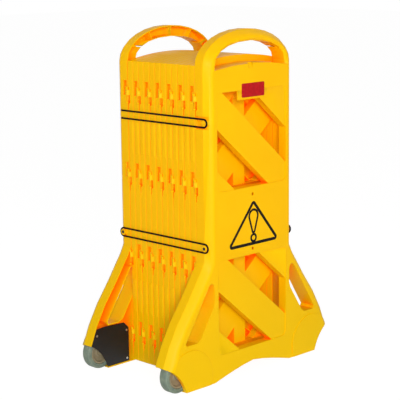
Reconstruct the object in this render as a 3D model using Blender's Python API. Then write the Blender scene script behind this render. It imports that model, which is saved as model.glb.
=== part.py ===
import math

import bmesh
import bpy
from mathutils import Matrix, Vector

# Metres, +Z up. The folded barrier stands on z = 0 with its width along X and
# its stack of panels along Y. The front end panel is at -Y, and the origin is
# at the middle of the footprint.

# Overall sizes
barrier_height = 1.016
panel_width = 0.360
end_depth = 0.054
panel_pitch = 0.0234
panel_gap = 0.0012
panel_count = 12
gap = 0.0003
overrun = 0.002

# Moulded walls of the end panels
skin = 0.004
wall = 0.0035
rib = 0.003
return_depth = 0.028
edge_bevel = 0.023
edge_bevel_shares = ((1.08, 0.0), (0.78, 0.08), (0.48, 0.33), (0.0, 1.0))
pocket_edge_shares = ((0.55, 0.42), (0.0, 1.0))

# Handles of the end panels; the deck is the plate below the handle
handle_rise = 0.098
handle_band = 0.033
handle_lip = 0.007
handle_hole_power = 2.2
handle_ribs = 5
arch_steps = 7
pocket_steps = 2
deck_lift = 0.003
deck_drop = 0.013
deck_steps = 4
deck_lip = 0.002
deck_notch_width = 0.0195
deck_notch_shift = -0.007
deck_notch_height = 0.0155
deck_notch_reach = 0.011

# Feet. On the end panels, a shift is from a panel's straight edge outwards, an
# inset from that edge inwards, and an end inset inwards from the foot's end.
flare_height = 0.362
flare_reach = 0.204
flare_shares = (
    (0.0, 0.0), (0.07, 0.065), (0.16, 0.175), (0.27, 0.305), (0.45, 0.54),
    (0.62, 0.715), (0.80, 0.85), (1.0, 0.95),
)
foot_inset = 0.017
underside_rise = 0.034
underside_power = 1.3
underside_steps = 4
disc_radius = 0.088
disc_end_inset = 0.121
disc_centre_z = 0.033
disc_raise = 0.0022
disc_sides = 24

# Slots through the feet
slot_inset = 0.018
slot_end_inset = 0.099
slot_floor = 0.136
slot_drop = 0.063
slot_room = 0.0718
slot_shares = ((0.0, 0.6), (0.52, 0.0), (1.0, 0.0), (0.15, 1.0), (0.05, 1.0), (0.0, 0.93))
slot_corner = 0.009

# Windows, their planks and corner plates; lifts are from a window's middle
window_inset = 0.034
window_corner = 0.016
window_recess = 0.0025
upper_window_shares = (0.61, 0.9183)
lower_window_shares = (0.085, 0.39)
upper_plank_lift = -0.023
lower_plank_lift = -0.009
upper_corner_lifts = (-0.2035, 0.1415)
lower_corner_lifts = (-0.187, 0.163)
plank_slope = math.radians(40.2)
plank_width = 0.092
mullion_width = 0.048
tab_width = 0.124
tab_drop = 0.027
square_hole = 0.008
upper_hole_drop = 0.022
lower_hole_lift = 0.017

# Inner panels
inner_floor_gap = 0.004
inner_shoulder_lift = 0.002
inner_top_rise = 0.020
inner_top_steps = 2
inner_foot_steps = 3
inner_skin = 0.003
post_width = 0.014
pad_length = 0.100
pad_width = 0.014
pad_raise = 0.001
upper_pad_drop = 0.0135
lower_pad_drop = 0.111

# Hinges: rows of knuckles, measured down from the top of each row's notch
row_top_shares = (0.939, 0.672, 0.404, 0.1405)
hinge_offset = 0.0018
knuckle_radius = 0.0045
knuckle_clearance = 0.0004
knuckle_steps = 3
knuckle_wrap = math.radians(225)
knuckle_root = 0.007
knuckle_room_depth = 0.0058
notch_width = 0.015
notch_height = 0.017
notch_depth = 0.010
notch_slot_width = 0.008
notch_slot_height = 0.026
leaf_drop = 0.020
upper_knuckle = 0.0073
middle_knuckle = 0.0154
void_height = 0.019
void_width = 0.009
void_depth = 0.008
lower_knuckle = 0.005
slit_height = 0.018
slit_width = 0.004
pin_radius = 0.0019
pin_clearance = 0.0004
pin_sides = 4
pin_length = 0.0035

# Wheels and their axles
wheel_radius = 0.0508
wheel_lift = 0.0006
wheel_end_inset = 0.087
wheel_room = 0.0022
wheel_side_room = 0.001
tyre_width = 0.030
tyre_band = 0.014
tyre_edge = 0.004
hub_width = 0.026
hub_rim = 0.007
hub_web = 0.008
hub_boss_radius = 0.010
wheel_sides = 22
axle_radius = 0.004
axle_sides = 10
axle_seat = 0.007
running_clearance = 0.0003
boss_radius = 0.010
arch_height = 0.082
arch_end_inset = 0.103
arch_bow = 0.011
arch_cut_steps = 6

# Wheel covers and their screws
cover_thickness = 0.003
cover_margin = 0.0015
cover_shift = 0.017
cover_height = 0.128
cover_corner = 0.018
cover_rise = 0.003
cover_peak_end_inset = 0.090
screw_radius = 0.0018
screw_head_radius = 0.0042
screw_head = 0.0016
screw_crown_share = 0.8
screw_length = 0.012
screw_post_radius = 0.0062
screw_sides = 8
outer_screw_inset = 0.01635
outer_screw_height = 0.108
inner_screw_shift = 0.024
inner_screw_heights = (0.102, 0.014)

# Elastic cords, with their hooks and pegs; backs are from an outer face. The
# lower cord runs over the third row of hinges and clears the feet.
cord_radius = 0.0025
cord_stand_off = 0.0006
cord_resolution = 2
cord_turn_steps = 8
upper_cord_drop = 0.1015
upper_cord_spread = 0.0115
lower_cord_lift = 0.0305
lower_cord_room = 0.0395
lower_cord_spread = 0.0125
cord_hole_back = 0.027
cord_bend = 0.0045
cord_bend_steps = 3
cord_tail = 0.012
cord_hole_room = 0.0012
hook_back = 0.0165
hook_pocket_height = 0.036
hook_pocket_depth = 0.010
hook_floor = 0.004
hook_reach = 0.0045
boss_back = 0.0170
peg_back = 0.027
peg_reach = 0.0062
peg_root = 0.016
peg_sides = 10
peg_screw_radius = 0.0050
peg_screw_head = 0.0012

# Edges that turn less than this are shaded smooth
smooth_angle = math.radians(32)
flat_angle = math.radians(0.05)

half_width = panel_width / 2
half_depth = end_depth + (panel_count * panel_pitch + panel_gap) / 2
hinge_x = half_width + hinge_offset
knuckle_room = knuckle_radius + knuckle_clearance
wheel_centre_z = wheel_radius + wheel_lift
cord_x = half_width + cord_stand_off + cord_radius
wheel_gap = (end_depth - tyre_width) / 2
cover_front = end_depth - cover_thickness

# Heights that follow the barrier's and the feet's
shoulder_height = barrier_height - handle_rise
deck_height = shoulder_height + deck_lift
inner_shoulder = shoulder_height + inner_shoulder_lift
upper_window = tuple(shoulder_height * share for share in upper_window_shares)
lower_window = tuple(shoulder_height * share for share in lower_window_shares)
upper_hole_height = upper_window[0] - upper_hole_drop
lower_hole_height = lower_window[1] + lower_hole_lift
row_tops = tuple(shoulder_height * share for share in row_top_shares)
upper_cord_height = row_tops[0] - upper_cord_drop
lower_cord_height = max(row_tops[2] + lower_cord_lift, flare_height + lower_cord_room)
pad_tops = (upper_cord_height - upper_pad_drop, row_tops[2] - lower_pad_drop)
slot_top = min(flare_height - slot_drop, row_tops[2] - slot_room)
slot_height = slot_top - slot_floor

# Places across the width
foot_end = half_width + flare_reach
foot_inner = half_width - foot_inset
window_half = half_width - window_inset
disc_centre_x = foot_end - disc_end_inset
slot_inner = half_width - slot_inset
slot_width = foot_end - slot_end_inset - slot_inner
wheel_centre_x = foot_end - wheel_end_inset
arch_inner_x = foot_end - arch_end_inset
cover_inner_x = half_width + cover_shift
cover_peak_x = foot_end - cover_peak_end_inset
windows = (
    (upper_window, upper_plank_lift, upper_corner_lifts),
    (lower_window, lower_plank_lift, lower_corner_lifts),
)


def clear_scene():
    for thing in list(bpy.data.objects):
        bpy.data.objects.remove(thing, do_unlink=True)


def make_material(name, colour, roughness, metallic):
    made = bpy.data.materials.new(name)
    made.use_nodes = True
    shader = made.node_tree.nodes["Principled BSDF"]
    shader.inputs["Base Color"].default_value = (*colour, 1.0)
    shader.inputs["Roughness"].default_value = roughness
    shader.inputs["Metallic"].default_value = metallic
    made.diffuse_color = (*colour, 1.0)
    return made


# Closed solids

def mesh_object(name, points, faces):
    mesh = bpy.data.meshes.new(name)
    mesh.from_pydata(points, [], faces)
    shape = bmesh.new()
    shape.from_mesh(mesh)
    bmesh.ops.recalc_face_normals(shape, faces=shape.faces)
    shape.to_mesh(mesh)
    shape.free()
    thing = bpy.data.objects.new(name, mesh)
    bpy.context.scene.collection.objects.link(thing)
    return thing


def loft(rings, name="solid", closed=False):
    """A solid through rings of equal point counts, capped at its ends or closed on itself."""
    count = len(rings[0])
    points = [p for ring in rings for p in ring]
    faces = []
    for level in range(len(rings) if closed else len(rings) - 1):
        low, high = level * count, (level + 1) % len(rings) * count
        for i in range(count):
            j = (i + 1) % count
            faces.append((low + i, low + j, high + j, high + i))
    if not closed:
        faces.append(tuple(range(count)))
        faces.append(tuple(range(len(points) - count, len(points))))
    return mesh_object(name, points, faces)


def prism(outline, front, back):
    """An outline in X and Z, extruded along Y."""
    return loft([[(x, y, z) for x, z in outline] for y in (front, back)])


def upright(outline, low, high):
    """An outline in X and Y, extruded along Z."""
    return loft([[(x, y, z) for x, y in outline] for z in (low, high)])


def box(x0, x1, y0, y1, z0, z1):
    low, high = min(x0, x1), max(x0, x1)
    near, far = min(y0, y1), max(y0, y1)
    return prism([(low, z0), (high, z0), (high, z1), (low, z1)], near, far)


def circle(radius, sides, turn=0.0):
    step = 2 * math.pi / sides
    return [
        (radius * math.cos(turn + step * i), radius * math.sin(turn + step * i))
        for i in range(sides)
    ]


def turned(profile, sides, axis, centre, name="solid"):
    """A round solid about an axis through centre; the profile lists (distance along, radius)."""
    rings = []
    for along, radius in profile:
        ring = []
        for a, b in circle(radius, sides, math.pi / sides):
            offset = {"X": (along, a, b), "Y": (a, along, b), "Z": (a, b, along)}[axis]
            ring.append(tuple(c + o for c, o in zip(centre, offset)))
        rings.append(ring)
    return loft(rings, name)


# Booleans

def gathered(things):
    """The meshes of several solids in one tool."""
    shape = bmesh.new()
    for thing in things:
        shape.from_mesh(thing.data)
    mesh = bpy.data.meshes.new("tool")
    shape.to_mesh(mesh)
    shape.free()
    for thing in things:
        bpy.data.objects.remove(thing, do_unlink=True)
    tool = bpy.data.objects.new("tool", mesh)
    bpy.context.scene.collection.objects.link(tool)
    return tool


def combine(target, tool, operation):
    step = target.modifiers.new(operation.lower(), "BOOLEAN")
    step.operation = operation
    step.solver = "EXACT"
    step.use_self = True
    step.object = tool
    bpy.context.view_layer.update()
    graph = bpy.context.evaluated_depsgraph_get()
    target.data = bpy.data.meshes.new_from_object(target.evaluated_get(graph))
    target.modifiers.clear()
    bpy.data.objects.remove(tool, do_unlink=True)


def carve(target, *tools):
    combine(target, gathered(tools), "DIFFERENCE")


def fuse(target, *tools):
    combine(target, gathered(tools), "UNION")


def keep_inside(target, *tools):
    combine(target, gathered(tools), "INTERSECT")


# Plane outlines

def clipped(polygon, a, b, c):
    """The part of a convex polygon where a x + b z <= c."""
    kept = []
    for i, p in enumerate(polygon):
        q = polygon[(i + 1) % len(polygon)]
        dp = a * p[0] + b * p[1] - c
        dq = a * q[0] + b * q[1] - c
        if dp <= 0:
            kept.append(p)
        if (dp < 0 < dq) or (dq < 0 < dp):
            t = dp / (dp - dq)
            kept.append((p[0] + (q[0] - p[0]) * t, p[1] + (q[1] - p[1]) * t))
    return kept


def area(polygon):
    total = 0.0
    for p, q in zip(polygon, polygon[1:] + polygon[:1]):
        total += p[0] * q[1] - q[0] * p[1]
    return total / 2


def grown(polygon, margin):
    """A convex polygon with every edge moved out by margin."""
    turn = 1 if area(polygon) > 0 else -1
    points = []
    for i, here in enumerate(polygon):
        before, p = Vector(polygon[i - 1]), Vector(here)
        after = Vector(polygon[(i + 1) % len(polygon)])
        a, b = (p - before).normalized(), (after - p).normalized()
        outward = Vector((a.y + b.y, -a.x - b.x)) * turn
        moved = p + outward * (margin / (1 + a.dot(b)))
        points.append((moved.x, moved.y))
    return points


def rounded(polygon, radius, steps=2):
    """A convex polygon with each corner replaced by a short curve."""
    points = []
    for i, here in enumerate(polygon):
        corner = Vector(here)
        before = Vector(polygon[i - 1]) - corner
        after = Vector(polygon[(i + 1) % len(polygon)]) - corner
        reach = min(radius, before.length * 0.45, after.length * 0.45)
        start = corner + before.normalized() * reach
        end = corner + after.normalized() * reach
        for k in range(steps + 1):
            t = k / steps
            point = start * (1 - t) ** 2 + corner * (2 * t * (1 - t)) + end * t ** 2
            points.append((point.x, point.y))
    return points


def mirrored(half):
    """A closed outline from its right half, listed from the top down to the bottom."""
    return half + [(-x, z) for x, z in reversed(half) if x > gap]


# Outlines of the panels

def underside(x):
    """Height of the arch under a panel."""
    reach = min(1.0, abs(x) / foot_inner)
    return underside_rise * (1 - reach ** underside_power)


def deck(x):
    """Height of an end panel's plate below its handle."""
    return deck_height - deck_drop * min(1.0, abs(x) / (half_width - handle_band)) ** 2


def flare_points(inset, low=0.0, high=flare_height):
    """The foot's outer edge from high down to low, drawn in by inset."""
    points = [(edge_at(high) - inset, high)]
    for down, out in flare_shares:
        z = flare_height * (1 - down)
        if low + gap < z < high - gap:
            points.append((half_width + flare_reach * out - inset, z))
    points.append((edge_at(low) - inset, low))
    return points


def edge_at(z):
    """Half width of an end panel at a height below its handle."""
    down = 1 - z / flare_height
    if down <= 0:
        return half_width
    for (d0, g0), (d1, g1) in zip(flare_shares, flare_shares[1:]):
        if down <= d1:
            return half_width + flare_reach * (g0 + (g1 - g0) * (down - d0) / (d1 - d0))
    return half_width + flare_reach * flare_shares[-1][1]


def screw_places():
    """A cover's screws in X and Z: one beside the foot's edge, two near the panel."""
    outer = edge_at(outer_screw_height) - outer_screw_inset
    inner = half_width + inner_screw_shift
    return [(outer, outer_screw_height)] + [(inner, z) for z in inner_screw_heights]


def end_outline():
    half = []
    rise = barrier_height - shoulder_height
    for i in range(arch_steps + 1):
        a = math.pi / 2 * i / arch_steps
        half.append((half_width * math.sin(a), shoulder_height + rise * math.cos(a)))
    half += flare_points(0.0)
    for i in range(underside_steps + 1):
        x = foot_inner * (1 - i / underside_steps)
        half.append((x, underside(x)))
    return mirrored(half)


def drawn_in(outline, inset):
    """An end panel's outline moved in; on the floor it slides, and under the arch it stays."""
    points = []
    for i, (x, z) in enumerate(outline):
        if z < gap and abs(x) > foot_inner + gap:
            points.append((x - math.copysign(inset, x), z))
        elif abs(x) <= foot_inner + gap and z <= underside_rise + gap:
            points.append((x, z))
        else:
            before = Vector(outline[i - 1])
            after = Vector(outline[(i + 1) % len(outline)])
            here = Vector((x, z))
            along = (here - before).normalized() + (after - here).normalized()
            inward = Vector((along.y, -along.x)).normalized()
            if inward.dot(Vector((0, flare_height)) - here) < 0:
                inward.negate()
            points.append(tuple(here + inward * inset))
    return points


def end_solid(outline, shift, back, name="solid"):
    """An end panel's outer form, whose front edges fall back in a soft bevel."""
    rings = []
    for inset_share, depth_share in edge_bevel_shares:
        y = edge_bevel * depth_share - shift
        ring = drawn_in(outline, edge_bevel * inset_share)
        rings.append([(x, y, z) for x, z in ring])
    rings.append([(x, back, z) for x, z in outline])
    return loft(rings, name)


def inner_outline():
    half = []
    for i in range(inner_top_steps + 1):
        share = i / inner_top_steps
        half.append((half_width * share, inner_shoulder + inner_top_rise * (1 - share ** 2)))
    half.append((half_width, inner_floor_gap))
    for i in range(inner_foot_steps + 1):
        x = foot_inner * (1 - i / inner_foot_steps)
        half.append((x, underside(x) + inner_floor_gap))
    return mirrored(half)


# Windows

def window_frame(window, margin):
    low, high = window
    x = window_half + margin
    return [(-x, low - margin), (x, low - margin), (x, high + margin), (-x, high + margin)]


def between(polygon, low, high):
    """The part of a polygon between two lines that fall to the right with the planks."""
    a, b = math.sin(plank_slope), math.cos(plank_slope)
    return clipped(clipped(polygon, -a, -b, -low), a, b, high)


def lattice_lines(window, plank_lift, corner_lifts):
    """Distances of the lower plate, the plank's two edges and the upper plate."""
    middle = sum(window) / 2
    b = math.cos(plank_slope)
    plank = (middle + plank_lift) * b
    low, high = ((middle + lift) * b for lift in corner_lifts)
    return low, plank - plank_width / 2, plank + plank_width / 2, high


def lattice_holes(with_mullion):
    """The openings of both windows, between plank, corner plates and mullion."""
    holes = []
    for window, plank_lift, corner_lifts in windows:
        low, under, over, high = lattice_lines(window, plank_lift, corner_lifts)
        frame = window_frame(window, 0.0)
        for polygon in (between(frame, low, under), between(frame, over, high)):
            if with_mullion:
                holes.append(clipped(polygon, 1, 0, -mullion_width / 2))
                holes.append(clipped(polygon, -1, 0, -mullion_width / 2))
            else:
                holes.append(polygon)
    return [hole for hole in holes if len(hole) > 2 and abs(area(hole)) > square_hole ** 2]


def lattice_pockets(thickness, with_plates):
    """The hollows inside the planks and corner plates, thickness in from their edges."""
    pockets = []
    for window, plank_lift, corner_lifts in windows:
        low, under, over, high = lattice_lines(window, plank_lift, corner_lifts)
        frame = window_frame(window, -thickness)
        pockets.append(between(frame, under + thickness, over - thickness))
        if with_plates:
            pockets.append(between(frame, 0.0, low - thickness))
            pockets.append(between(frame, high + thickness, barrier_height))
    return [pocket for pocket in pockets if len(pocket) > 2]


# Hinges. The leaf behind each line carries an upper and a lower knuckle, and
# the leaf in front carries the middle one, whose pin drops into the lower.
# side is -1 or +1 along X; into is the way along Y from the line to the leaf.

def row_levels(top):
    upper_top = top - leaf_drop
    upper_low = upper_top - upper_knuckle
    middle_low = upper_low - gap - middle_knuckle
    lower_top = middle_low - void_height
    return upper_top, upper_low, middle_low, lower_top, lower_top - lower_knuckle


def knuckle(side, line, into, low, high):
    """A round knuckle with a root that reaches into the leaf's own corner."""
    outline = []
    for i in range(knuckle_steps + 1):
        a = math.pi / 2 - knuckle_wrap * i / knuckle_steps
        x = hinge_x + knuckle_radius * math.cos(a)
        y = knuckle_radius * math.sin(a)
        outline.append((side * x, line + into * y))
    outline.append((side * (half_width - knuckle_root), line + into * panel_gap))
    outline.append((side * (half_width - knuckle_root), line + into * knuckle_root))
    outline.append((side * (half_width - gap), line + into * knuckle_root))
    return upright(outline, low, high)


def corner_cut(side, line, into, depth, width, low, high):
    """A cut into the leaf's corner, depth along X and width along Y."""
    outer = side * (hinge_x + knuckle_room + overrun)
    return box(
        side * (half_width - depth), outer, line - into * overrun, line + into * width, low, high,
    )


def hinge_rod(side, line, radius, low, high):
    return turned(((low, radius), (high, radius)), pin_sides, "Z", (side * hinge_x, line, 0.0))


def add_rear_leaf(panel, side, line, into, lowest_notch):
    """The leaf behind a hinge line, with its notches."""
    cuts, knuckles, bores = [], [], []
    room = knuckle_room_depth
    near = (panel_pitch - notch_width) / 2
    for top in row_tops:
        upper_top, upper_low, _, lower_top, lower_low = row_levels(top)
        cuts.append(corner_cut(side, line, into, room, knuckle_room, lower_top, upper_low))
        knuckles.append(knuckle(side, line, into, upper_low, upper_top))
        knuckles.append(knuckle(side, line, into, lower_low, lower_top))
        bores.append(hinge_rod(
            side, line, (pin_radius + pin_clearance) / math.cos(math.pi / pin_sides),
            lower_top - pin_length - gap, lower_top + overrun,
        ))
        if top - notch_height < lowest_notch:
            continue
        floor, low = top - notch_height, top - notch_height - notch_slot_height
        outline = [
            (near, floor), (near + notch_width - notch_slot_width, floor),
            (near + notch_width - notch_slot_width, low), (near + notch_width, low),
            (near + notch_width, top), (near, top),
        ]
        ends = (side * (half_width - notch_depth), side * (half_width + overrun))
        cuts.append(loft([[(x, line + into * y, z) for y, z in outline] for x in ends]))
    carve(panel, *cuts)
    fuse(panel, *knuckles)
    carve(panel, *bores)


def add_front_leaf(panel, side, line, into, lowest_slit):
    """The leaf in front of a hinge line, with its pins."""
    cuts, knuckles, pins = [], [], []
    room = knuckle_room_depth
    for top in row_tops:
        upper_top, upper_low, middle_low, lower_top, lower_low = row_levels(top)
        middle_top, floor = upper_low - gap, lower_low - gap
        cuts.append(corner_cut(
            side, line, into, room, knuckle_room, middle_top, upper_top + gap,
        ))
        outline = [(-overrun, middle_low), (void_width, middle_low), (void_width, floor)]
        if floor - slit_height > lowest_slit:
            outline += [(slit_width, floor), (slit_width, floor - slit_height)]
            outline.append((-overrun, floor - slit_height))
        else:
            outline.append((-overrun, floor))
        ends = (side * (half_width - void_depth), side * (hinge_x + knuckle_room))
        cuts.append(loft([[(x, line + into * y, z) for y, z in outline] for x in ends]))
        knuckles.append(knuckle(side, line, into, middle_low, middle_top))
        pins.append(hinge_rod(
            side, line, pin_radius, lower_top - pin_length, middle_low + overrun,
        ))
    carve(panel, *cuts)
    fuse(panel, *knuckles)
    fuse(panel, *pins)


# Inner panels, about their own middle in Y

def inner_panel_mesh(skin_in_front, name):
    """A panel hinged at its rear left corner and its front right corner."""
    half = (panel_pitch - panel_gap) / 2
    panel = prism(inner_outline(), -half, half)
    panel.name = name
    near, far = -half - overrun, half + overrun
    if skin_in_front:
        pocket_near, pocket_far = inner_skin - half, far
    else:
        pocket_near, pocket_far = near, half - inner_skin
    side_x = half_width - post_width
    outlines = lattice_pockets(inner_skin, False)
    outlines.append(window_frame(
        (lower_window[1] + 2 * inner_skin, upper_window[0] - 2 * inner_skin), inner_skin))
    outlines.append(inner_top_pocket())
    outlines.append(inner_foot_pocket())
    for side in (-1, 1):
        x0, x1 = sorted((side * (window_half + inner_skin), side * side_x))
        low, high = inner_floor_gap + 2 * inner_skin, inner_shoulder - 2 * inner_skin
        outlines.append([(x0, low), (x1, low), (x1, high), (x0, high)])
    carve(panel, *[prism(outline, pocket_near, pocket_far) for outline in outlines])
    carve(panel, *[prism(hole, near, far) for hole in lattice_holes(True)])
    pads = []
    for side in (-1, 1):
        for top in pad_tops:
            pads.append(box(
                side * (half_width - overrun), side * (half_width + pad_raise),
                -pad_width / 2, pad_width / 2, top - pad_length, top,
            ))
    fuse(panel, *pads)
    add_front_leaf(panel, -1, panel_pitch / 2, -1, 0.0)
    add_rear_leaf(panel, 1, -panel_pitch / 2, 1, 0.0)
    return taken_mesh(panel)


def inner_top_pocket():
    low, high = upper_window[1] + inner_skin, inner_shoulder - 2 * inner_skin
    x = window_half
    return [(-x, low), (x, low), (x, high), (0.0, high + inner_top_rise / 2), (-x, high)]


def inner_foot_pocket():
    x, high = window_half, lower_window[0] - inner_skin
    points = [(x, high), (-x, high)]
    for i in range(2 * inner_foot_steps - 1):
        at = x * ((i + 1) / inner_foot_steps - 1)
        points.append((at, underside(at) + inner_floor_gap + 2 * inner_skin))
    return points


def flipped_mesh(mesh, name):
    """The mirror image of a panel's mesh, left for right."""
    shape = bmesh.new()
    shape.from_mesh(mesh)
    bmesh.ops.transform(
        shape, matrix=Matrix.Scale(-1, 4, Vector((1, 0, 0))), verts=shape.verts)
    bmesh.ops.reverse_faces(shape, faces=shape.faces)
    made = bpy.data.meshes.new(name)
    shape.to_mesh(made)
    shape.free()
    return made


# End panels. Each is built with its outer face on y = 0 and its open back at
# y = end_depth, with its hinge and its wheel on the same side.

def handle_hole(margin):
    half_x = half_width - handle_band + margin
    rise = barrier_height - shoulder_height - handle_band + margin
    points = []
    steps = 2 * arch_steps - 4
    for i in range(steps + 1):
        a = math.pi * i / steps
        c, s = math.cos(a), abs(math.sin(a))
        x = math.copysign(abs(c) ** (2 / handle_hole_power), c) * half_x
        points.append((x, shoulder_height + s ** (2 / handle_hole_power) * rise))
    for i in range(deck_steps + 1):
        x = half_x * (2 * i / deck_steps - 1)
        points.append((x, deck(x) - margin * deck_lip / handle_lip))
    return points


def handle_bays():
    """The hollows inside the handle, parted by ribs across it."""
    bays = []
    outer = (half_width - wall, barrier_height - shoulder_height - wall)
    inner = (outer[0] - handle_band + 2 * wall, outer[1] - handle_band + 2 * wall)
    rib_turn = rib / panel_width
    count = handle_ribs + 1
    levels = ((0.0, edge_bevel), (0.0, end_depth + overrun))
    for bay in range(count):
        start = math.pi * bay / count + rib_turn * (1 if bay else 0)
        end = math.pi * (bay + 1) / count - rib_turn * (1 if bay < count - 1 else 0)
        turns = [start + (end - start) * k / pocket_steps for k in range(pocket_steps + 1)]
        rings = []
        for inset, y in levels:
            ring = [(
                (outer[0] - inset) * math.cos(a), y,
                shoulder_height + (outer[1] - inset) * math.sin(a),
            ) for a in turns]
            ring += [(
                inner[0] * math.cos(a), y, shoulder_height + inner[1] * math.sin(a),
            ) for a in reversed(turns)]
            rings.append(ring)
        bays.append(loft(rings))
    return bays


def side_hollow(side):
    """The hollow between the windows' side wall and the outer edge."""
    inner, top = window_half + wall, deck_height - deck_drop - 2 * wall
    levels = [
        (wall + edge_bevel * inset, edge_bevel * depth)
        for inset, depth in pocket_edge_shares
    ] + [(wall, end_depth + overrun)]
    rings = []
    for inset, y in levels:
        outline = [(inner, top), (half_width - inset, top)]
        outline += flare_points(inset * 1.15, wall)
        outline += [(foot_inner, wall), (inner, underside(inner) + wall)]
        rings.append([(side * x, y, z) for x, z in outline])
    return loft(rings)


def middle_hollows():
    """The hollows above, between and below the windows, and those behind the planks."""
    x = window_half + wall
    high = deck(x) - wall
    crown = [(0.0, deck_height - wall)]
    top = [(-x, upper_window[1] + wall), (x, upper_window[1] + wall), (x, high)]
    top += crown + [(-x, high)]
    middle = [
        (-x, lower_window[1] + wall), (x, lower_window[1] + wall),
        (x, upper_window[0] - wall), (-x, upper_window[0] - wall),
    ]
    bottom = [(x, lower_window[0] - wall), (-x, lower_window[0] - wall)]
    for i in range(2 * underside_steps + 1):
        at = x * (i / underside_steps - 1)
        bottom.append((at, underside(at) + wall))
    back = end_depth + overrun
    solids = [prism(outline, skin, back) for outline in (top, middle, bottom)]
    recessed = skin + window_recess
    solids += [prism(outline, recessed, back) for outline in lattice_pockets(wall, True)]
    for window, _, _ in windows:
        solids.append(prism(window_frame(window, gap), return_depth, back))
    return solids


def slot_outline(side, margin):
    points = [
        (slot_inner + slot_width * a, slot_floor + slot_height * b) for a, b in slot_shares
    ]
    points = rounded(grown(points, margin), slot_corner + margin, 1)
    return [(side * x, z) for x, z in points]


def arch_cut(side, margin=0.0, back=end_depth + overrun):
    """What lies outside the shallow curve that clears a wheel, margin further in."""
    start = Vector((edge_at(arch_height), arch_height))
    chord = Vector((arch_inner_x, 0.0)) - start
    inward = Vector((chord.y, -chord.x)).normalized()
    points = []
    for i in range(-1, arch_cut_steps + 2):
        t = i / arch_cut_steps
        p = start + chord * t + inward * (arch_bow * 4 * t * (1 - t) + margin)
        points.append((side * p.x, p.y))
    beyond = side * (foot_end + edge_bevel)
    points.append((points[-1][0], -edge_bevel))
    points.append((beyond, -edge_bevel))
    points.append((beyond, points[0][1]))
    return prism(points, -edge_bevel, back)


def deck_notch():
    """A cutter for the slanted notch across the deck's front edge."""
    slope = deck_notch_height / deck_notch_reach
    outline = [
        (-overrun, deck_height - deck_notch_height - overrun * slope),
        (deck_notch_reach + overrun / slope, deck_height + overrun),
        (-overrun, deck_height + overrun),
    ]
    ends = (deck_notch_shift - deck_notch_width / 2, deck_notch_shift + deck_notch_width / 2)
    return loft([[(x, y, z) for y, z in outline] for x in ends])


def deck_notch_block():
    """What stands in the hollow behind the deck's notch."""
    half = deck_notch_width / 2 + wall
    return box(
        deck_notch_shift - half, deck_notch_shift + half, -overrun, deck_notch_reach + wall,
        deck_height - deck_notch_height - wall, deck_height + overrun,
    )


def hook_block(side):
    half = hook_pocket_height / 2 + wall
    return box(
        side * (half_width - hook_pocket_depth - hook_floor), side * panel_width,
        -overrun, end_depth + 2 * overrun, upper_cord_height - half, upper_cord_height + half,
    )


def peg_rod(side, back, inner_x, outer_x, radius, height):
    return turned(
        ((inner_x, radius), (outer_x, radius)), peg_sides, "X", (0.0, back, height),
    ) if side > 0 else turned(
        ((-outer_x, radius), (-inner_x, radius)), peg_sides, "X", (0.0, back, height),
    )


def end_hollow(hinge_side):
    """Everything hollow in an end panel: its pockets without what stands in them."""
    hollow = middle_hollows()
    body = hollow.pop()
    fuse(body, *hollow, side_hollow(-1), side_hollow(1))
    fuse(body, *handle_bays())
    back = end_depth + 2 * overrun
    post = box(
        hinge_side * (half_width - post_width), hinge_side * half_width,
        end_depth - panel_pitch, back, -overrun, shoulder_height,
    )
    ribs = [
        box(side * (half_width - rib), side * half_width, -overrun, back, -overrun, flare_height)
        for side in (-1, 1)
    ]
    collars = [prism(slot_outline(side, wall), -overrun, back) for side in (-1, 1)]
    pillars = [
        turned(((-overrun, screw_post_radius), (cover_front - gap, screw_post_radius)),
               screw_sides, "Y", (hinge_side * x, 0.0, z))
        for x, z in screw_places()
    ]
    pegs = [
        peg_rod(side, at, half_width - peg_root, panel_width, peg_radius(), lower_cord_height)
        for side, at in ((-1, boss_back), (1, peg_back))
    ]
    for kept in (post, *ribs, *collars, *pillars, deck_notch_block(), hook_block(-1), *pegs):
        carve(body, kept)
    return body


def peg_radius():
    return lower_cord_spread - cord_radius - gap


def end_panel(name, hinge_side):
    outline = end_outline()
    panel = end_solid(outline, 0.0, end_depth, name)
    for side in (-1, 1):
        raised = end_solid(outline, disc_raise, edge_bevel + 2 * disc_raise)
        keep_inside(raised, turned(
            ((-edge_bevel, disc_radius), (end_depth, disc_radius)), disc_sides, "Y",
            (side * disc_centre_x, 0.0, disc_centre_z),
        ))
        fuse(panel, raised)
    hollow = end_hollow(hinge_side)
    combine(panel, hollow, "DIFFERENCE")

    back = end_depth + overrun
    carve(panel, *[
        prism(rounded(window_frame(window, 0.0), window_corner), -overrun, window_recess)
        for window, _, _ in windows
    ])
    carve(panel, *[prism(hole, -overrun, back) for hole in lattice_holes(False)])
    carve(panel, loft([
        [(x, y, z) for x, z in handle_hole(margin)]
        for y, margin in ((-overrun, handle_lip + overrun), (handle_lip, 0.0), (back, 0.0))
    ]))
    for side in (-1, 1):
        carve(panel, prism(slot_outline(side, 0.0), -edge_bevel, back))
        carve(panel, arch_cut(side))
    half = square_hole / 2
    carve(panel, *[
        box(-half, half, -overrun, skin + overrun, z - half, z + half)
        for z in (upper_hole_height, lower_hole_height)
    ])
    carve(panel, deck_notch())
    low = upper_window[1] - tab_drop
    tab = [(-tab_width / 2, low), (tab_width / 2, low)]
    tab += [(tab_width / 2, upper_window[1] + wall), (-tab_width / 2, upper_window[1] + wall)]
    fuse(panel, prism(rounded(tab, wall), gap, skin))
    add_wheel_seat(panel, hinge_side)
    add_cord_seats(panel)
    line = end_depth + panel_gap / 2
    if hinge_side > 0:
        add_rear_leaf(panel, hinge_side, line, -1, flare_height)
    else:
        add_front_leaf(panel, hinge_side, line, -1, flare_height)
    return panel


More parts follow.
